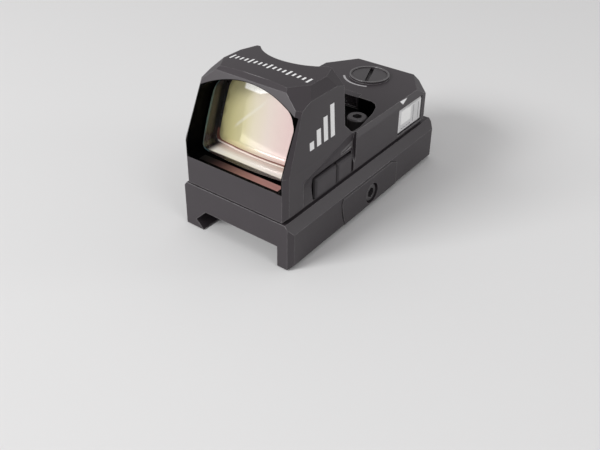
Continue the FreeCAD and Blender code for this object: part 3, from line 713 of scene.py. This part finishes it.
def lens_margin():
    """Ring of uncoated rear surface round the coat, painted with light below and shade at the
    sides.
    """
    bm, centre = rear_surface()
    inner = COAT_REACH * MARGIN_OVERLAP
    ring = bmesh.new()
    for edge in bm.edges:
        if len(edge.link_faces) != 1:
            continue
        a, b = [v.co for v in edge.verts]
        spots = [shrunk(a, centre, RIM_REACH), shrunk(b, centre, RIM_REACH)]
        spots += [shrunk(b, centre, inner), shrunk(a, centre, inner)]
        ring.faces.new([ring.verts.new(p - LENS_AXIS * MARGIN_DEPTH) for p in spots])
    bm.free()
    bmesh.ops.remove_doubles(ring, verts=ring.verts, dist=WELD / 2)
    return thicken(piece("lens_margin", ring, "margin"))


def lens_edge():
    """Ground edge of both halves of the doublet, which carries painted light and shade."""
    bm = edge_faces("lens_front")
    rear = edge_faces("lens_rear")
    scratch = bpy.data.meshes.new("scratch")
    rear.to_mesh(scratch)
    rear.free()
    bm.from_mesh(scratch)
    bpy.data.meshes.remove(scratch)
    low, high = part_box("lens_front")
    centre = (low + high) / 2
    for v in bm.verts:
        v.co = shrunk(v.co, centre, EDGE_REACH)
    return thicken(piece("lens_edge", bm, "ground_edge"))


def lens_sill():
    """Polished sill on the tunnel floor in front of the lens, which carries a painted reflection
    of the coat.
    """
    bm = bmesh.new()
    left, right, start, gap, height = -9.5, 10.6, 0.7, 0.35, 12.2
    end = (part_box("lens_front")[0].y - FRONT) / MM - gap
    corners = rectangle(lambda x, back: place(x, back, height), left, right, start, end)
    add_tile(bm, corners, UP, lift=0.03 * MM, sink=0.04 * MM)
    return piece("lens_sill", bm, "sill")


# ---------------------------------------------------------------- stage, light, camera
def floor():
    bm = bmesh.new()
    half, gap = 3.0, 0.2 * MM
    z = cad_low.z - gap
    corners = ((-half, -half), (half, -half), (half, half), (-half, half))
    bm.faces.new([bm.verts.new((x, y, z)) for x, y in corners])
    mesh = bpy.data.meshes.new("floor")
    bm.to_mesh(mesh)
    bm.free()
    obj = bpy.data.objects.new("floor", mesh)
    bpy.context.scene.collection.objects.link(obj)
    g = Graph("pale_floor")
    g.set(Base_Color=g.mix(g.noise(4, 2), (0.68, 0.68, 0.68), (0.7, 0.7, 0.7)), Roughness=0.8)
    mesh.materials.append(g.mat)


def softbox(name, direction, distance, size, watts):
    """Rectangular lamp that faces the middle of the finder from one direction."""
    aim = Vector((0, 0, 0.01))
    lamp = bpy.data.lights.new(name, "AREA")
    lamp.shape = "RECTANGLE"
    lamp.size, lamp.size_y = size
    lamp.energy = watts
    obj = bpy.data.objects.new(name, lamp)
    back = Vector(direction).normalized()
    obj.location = aim + back * distance
    obj.rotation_mode = "QUATERNION"
    obj.rotation_quaternion = back.to_track_quat("Z", "Y")
    bpy.context.scene.collection.objects.link(obj)


def light():
    world = bpy.data.worlds.new("studio")
    world.use_nodes = True
    back = world.node_tree.nodes["Background"]
    back.inputs["Color"].default_value = (1.0, 0.985, 0.99, 1.0)
    back.inputs["Strength"].default_value = 0.45
    bpy.context.scene.world = world
    softbox("key", (-0.38, -0.82, 0.52), 0.9, (0.42, 0.26), 6.9)
    softbox("top", (-0.1, 0.1, 1.0), 1.0, (0.6, 0.6), 0.8)
    softbox("rear", (0.9, 0.7, 0.2), 0.5, (0.12, 0.12), 0.35)
    softbox("facet", (0.62, -0.2, 0.73), 0.8, (0.26, 0.26), 0.75)


def camera():
    """View from the front and the side with the keys, with a shifted lens and a slight roll."""
    azimuth, elevation, roll = [math.radians(angle) for angle in (36.08, 29.89, 0.92)]
    distance = 0.16511
    target = Vector((0, -0.0046, 0.0065))
    level = math.cos(elevation)
    back = Vector((math.sin(azimuth) * level, -math.cos(azimuth) * level, math.sin(elevation)))
    right = Vector((math.cos(azimuth), math.sin(azimuth), 0))
    up = back.cross(right)
    turn = Matrix.Rotation(roll, 3, back)
    right, up = turn @ right, turn @ up
    data = bpy.data.cameras.new("camera")
    data.lens = 44.91
    data.sensor_width = 36
    data.shift_x = -0.009
    data.shift_y = -0.122
    data.clip_start = 0.005
    data.clip_end = 20
    obj = bpy.data.objects.new("camera", data)
    spot = target + back * distance
    obj.matrix_world = Matrix((
        (right.x, up.x, back.x, spot.x),
        (right.y, up.y, back.y, spot.y),
        (right.z, up.z, back.z, spot.z),
        (0, 0, 0, 1),
    ))
    bpy.context.scene.collection.objects.link(obj)
    bpy.context.scene.camera = obj


dress_nodes()
side_bars()
hood_ticks()
drawer_label()
drawer_lines()
dial_arc()
collar_highlight_ring()
lens_coating()
lens_margin()
lens_edge()
lens_sill()
floor()
light()
camera()
bpy.context.scene.view_settings.view_transform = "Standard"
